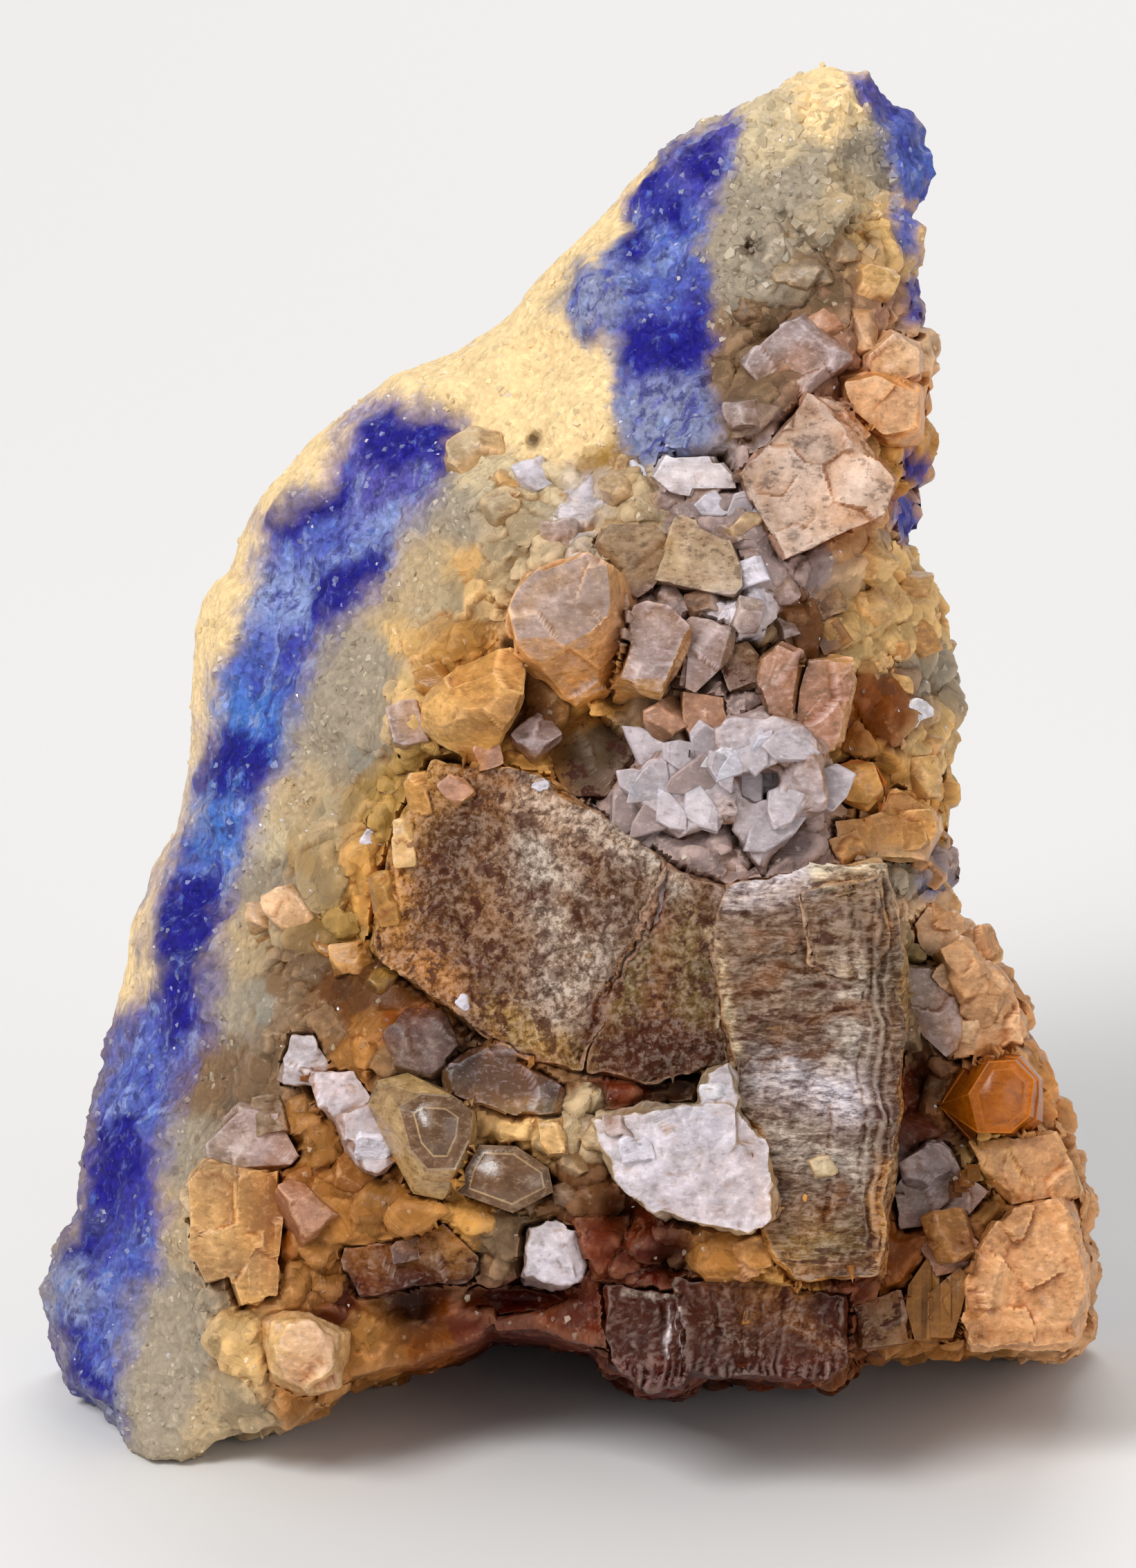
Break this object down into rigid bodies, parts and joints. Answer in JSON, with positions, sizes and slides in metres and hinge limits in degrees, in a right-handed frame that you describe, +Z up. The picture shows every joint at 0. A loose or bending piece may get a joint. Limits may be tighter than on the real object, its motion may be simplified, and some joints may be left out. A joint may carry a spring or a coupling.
{
  "type": "rough lapis lazuli",
  "caption": "Hand specimen of rough lapis lazuli: a blue and cream lump of rock whose front is crowded with blocky brown, amber, lilac and white mica crystals.",
  "frame": {"origin": "centre of the bounding box at the resting face", "axes": "+Z up, the crystal-covered front faces -Y, the blue band is on the -X side and the tip on the +X side"},
  "size_m": [0.077, 0.0534, 0.0945],
  "materials": {
    "lapis": "rough blue rock with cream and grey sugary calcite",
    "brown_mica": "mottled brown and silver, pearly on its flat faces",
    "golden_mica": "golden and amber, waxy and a little see-through",
    "lilac_mica": "lilac-grey, satin",
    "clear_mica": "clear and glossy, faintly brown",
    "clear_amber": "clear and glossy, amber",
    "white_calcite": "white to pale lilac, frosted"
  },
  "bodies": {
    "root": {"lapis_rock": "lapis", "knob_crystal": "golden_mica", "pale_block": "lilac_mica", "lilac_block": "lilac_mica", "ridged_block": "brown_mica", "pentagon_crystal": "golden_mica", "golden_prism": "golden_mica", "dark_crystal": "brown_mica", "brown_block": "brown_mica", "speckled_block": "brown_mica", "square_plate": "brown_mica", "orange_crystal": "golden_mica", "round_pale_crystal": "lilac_mica", "white_slab": "white_calcite", "white_plates": "white_calcite", "rose_prism": "lilac_mica", "rose_block": "lilac_mica", "left_book": "brown_mica", "middle_book": "brown_mica", "right_book": "brown_mica", "white_patch": "white_calcite", "white_knob": "white_calcite", "bottom_book": "brown_mica", "lilac_slab": "lilac_mica", "clear_plate_left": "clear_mica", "clear_plate_right": "clear_mica", "yellow_prisms": "golden_mica", "grey_block": "lilac_mica", "chain_blocks": "white_calcite", "white_rough_crystal": "white_calcite", "ridged_book": "brown_mica", "amber_window": "clear_amber", "peach_block": "golden_mica", "grey_wedge": "lilac_mica", "cream_nugget": "white_calcite", "lower_right_block": "golden_mica", "right_shoulder": "golden_mica", "lilac_prisms": "lilac_mica", "rose_corner": "lilac_mica", "amber_blades": "clear_amber", "brown_wedge": "brown_mica", "golden_layers": "golden_mica", "amber_bump": "clear_amber"}
  },
  "joints": []
}
